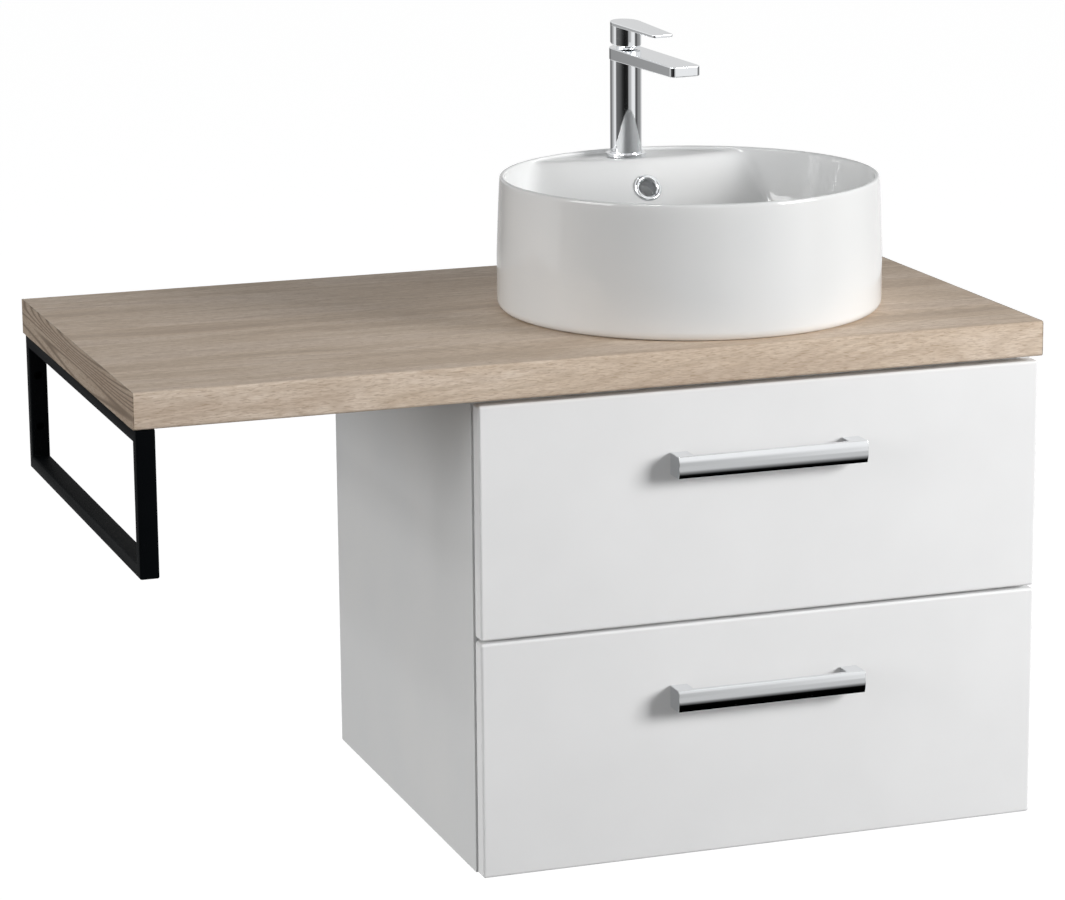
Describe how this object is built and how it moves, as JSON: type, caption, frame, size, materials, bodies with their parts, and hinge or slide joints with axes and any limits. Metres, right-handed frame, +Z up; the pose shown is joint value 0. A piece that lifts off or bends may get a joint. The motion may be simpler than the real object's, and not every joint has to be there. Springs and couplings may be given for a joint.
{
  "type": "vessel sink on vanity",
  "caption": "Wall-hung two-drawer vanity with an oak-look worktop, a round white vessel basin, a single-lever chrome tap and a black loop bracket under the worktop's free end.",
  "frame": {"origin": "middle of the hanging rail's rear face, on the wall plane, on the cabinet's centre line", "axes": "+X to the user's right along the wall, +Y into the wall, +Z up"},
  "size_m": [0.94, 0.5183, 0.7987],
  "materials": {
    "carcass_board": "matt white melamine on chipboard",
    "gloss_lacquer": "gloss white lacquer on fibreboard",
    "drawer_board": "light grey melamine",
    "oak_laminate": "light oak laminate with a fine matt grain",
    "zinc_steel": "zinc-plated",
    "black_steel": "satin black powder coat",
    "handle_chrome": "polished chrome",
    "tap_chrome": "polished chrome",
    "chrome_trim": "polished chrome",
    "glaze": "white gloss glaze",
    "recess_plastic": "grey moulded plastic",
    "white_plastic": "white moulded plastic",
    "rubber_seal": "black rubber",
    "brass_inside": "plain brass"
  },
  "bodies": {
    "vanity": {"side_panel_left": "carcass_board", "side_panel_right": "carcass_board", "bottom_panel": "carcass_board", "front_rail": "carcass_board", "hanging_rail": "carcass_board", "rear_rail_lower": "carcass_board", "hanger_left": "zinc_steel", "hanger_right": "zinc_steel", "worktop": "oak_laminate", "wall_bracket": "black_steel", "upper_drawer_cabinet_member_left": "zinc_steel", "upper_drawer_cabinet_member_right": "zinc_steel", "lower_drawer_cabinet_member_left": "zinc_steel", "lower_drawer_cabinet_member_right": "zinc_steel", "basin": "glaze", "overflow_ring": "chrome_trim", "waste_body": "chrome_trim", "trap_coupling_nut": "chrome_trim", "trap_inlet_tube": "chrome_trim", "trap_cap_nut": "chrome_trim", "trap_bottle": "chrome_trim", "trap_outlet_pipe": "chrome_trim", "wall_rosette": "chrome_trim", "waste_seal": "rubber_seal", "waste_nut": "white_plastic", "cartridge": "white_plastic", "tap_body": "tap_chrome", "tap_base_ring": "tap_chrome", "cartridge_dome_nut": "tap_chrome", "aerator": "tap_chrome", "tap_stud_nut": "brass_inside", "tap_stud": "zinc_steel", "tap_clamp_plate": "zinc_steel"},
    "upper_drawer": {"upper_drawer_front": "gloss_lacquer", "upper_drawer_handle": "handle_chrome", "upper_drawer_side_left": "drawer_board", "upper_drawer_side_right": "drawer_board", "upper_drawer_bottom": "drawer_board", "upper_drawer_trap_recess": "recess_plastic", "upper_drawer_back_left": "drawer_board", "upper_drawer_back_right": "drawer_board", "upper_drawer_drawer_member_left": "zinc_steel", "upper_drawer_drawer_member_right": "zinc_steel"},
    "upper_runners": {"upper_drawer_middle_member_left": "zinc_steel", "upper_drawer_middle_member_right": "zinc_steel"},
    "lower_drawer": {"lower_drawer_front": "gloss_lacquer", "lower_drawer_handle": "handle_chrome", "lower_drawer_side_left": "drawer_board", "lower_drawer_side_right": "drawer_board", "lower_drawer_bottom": "drawer_board", "lower_drawer_back": "drawer_board", "lower_drawer_drawer_member_left": "zinc_steel", "lower_drawer_drawer_member_right": "zinc_steel"},
    "lower_runners": {"lower_drawer_middle_member_left": "zinc_steel", "lower_drawer_middle_member_right": "zinc_steel"},
    "plug": {"waste_plug": "chrome_trim"},
    "lever_swivel": {"stem_carrier": "brass_inside"},
    "lever_arm": {"lever": "tap_chrome", "lever_stem": "brass_inside"}
  },
  "joints": [
    {"name": "upper_drawer_slide", "type": "slide", "parent": "vanity", "child": "upper_drawer", "axis": [0, -1, 0], "range_m": [0, 0.36]},
    {"name": "upper_runner_slide", "type": "slide", "parent": "vanity", "child": "upper_runners", "axis": [0, -1, 0], "range_m": [0, 0.18]},
    {"name": "lower_drawer_slide", "type": "slide", "parent": "vanity", "child": "lower_drawer", "axis": [0, -1, 0], "range_m": [0, 0.36]},
    {"name": "lower_runner_slide", "type": "slide", "parent": "vanity", "child": "lower_runners", "axis": [0, -1, 0], "range_m": [0, 0.18]},
    {"name": "plug_lift", "type": "slide", "parent": "vanity", "child": "plug", "axis": [0, 0, 1], "range_m": [0, 0.008]},
    {"name": "lever_turn", "type": "hinge", "parent": "vanity", "child": "lever_swivel", "pos_m": [-0.009, -0.1265, 0.3368], "axis": [0, 0, 1], "range_deg": [-45, 45]},
    {"name": "lever_lift", "type": "hinge", "parent": "lever_swivel", "child": "lever_arm", "pos_m": [-0.009, -0.1265, 0.3368], "axis": [-0.9877, -0.1564, 0], "range_deg": [0, 20]}
  ],
  "couplings": [
    {"joint": "upper_runner_slide", "follows": "upper_drawer_slide", "ratio": 0.5},
    {"joint": "lower_runner_slide", "follows": "lower_drawer_slide", "ratio": 0.5}
  ]
}
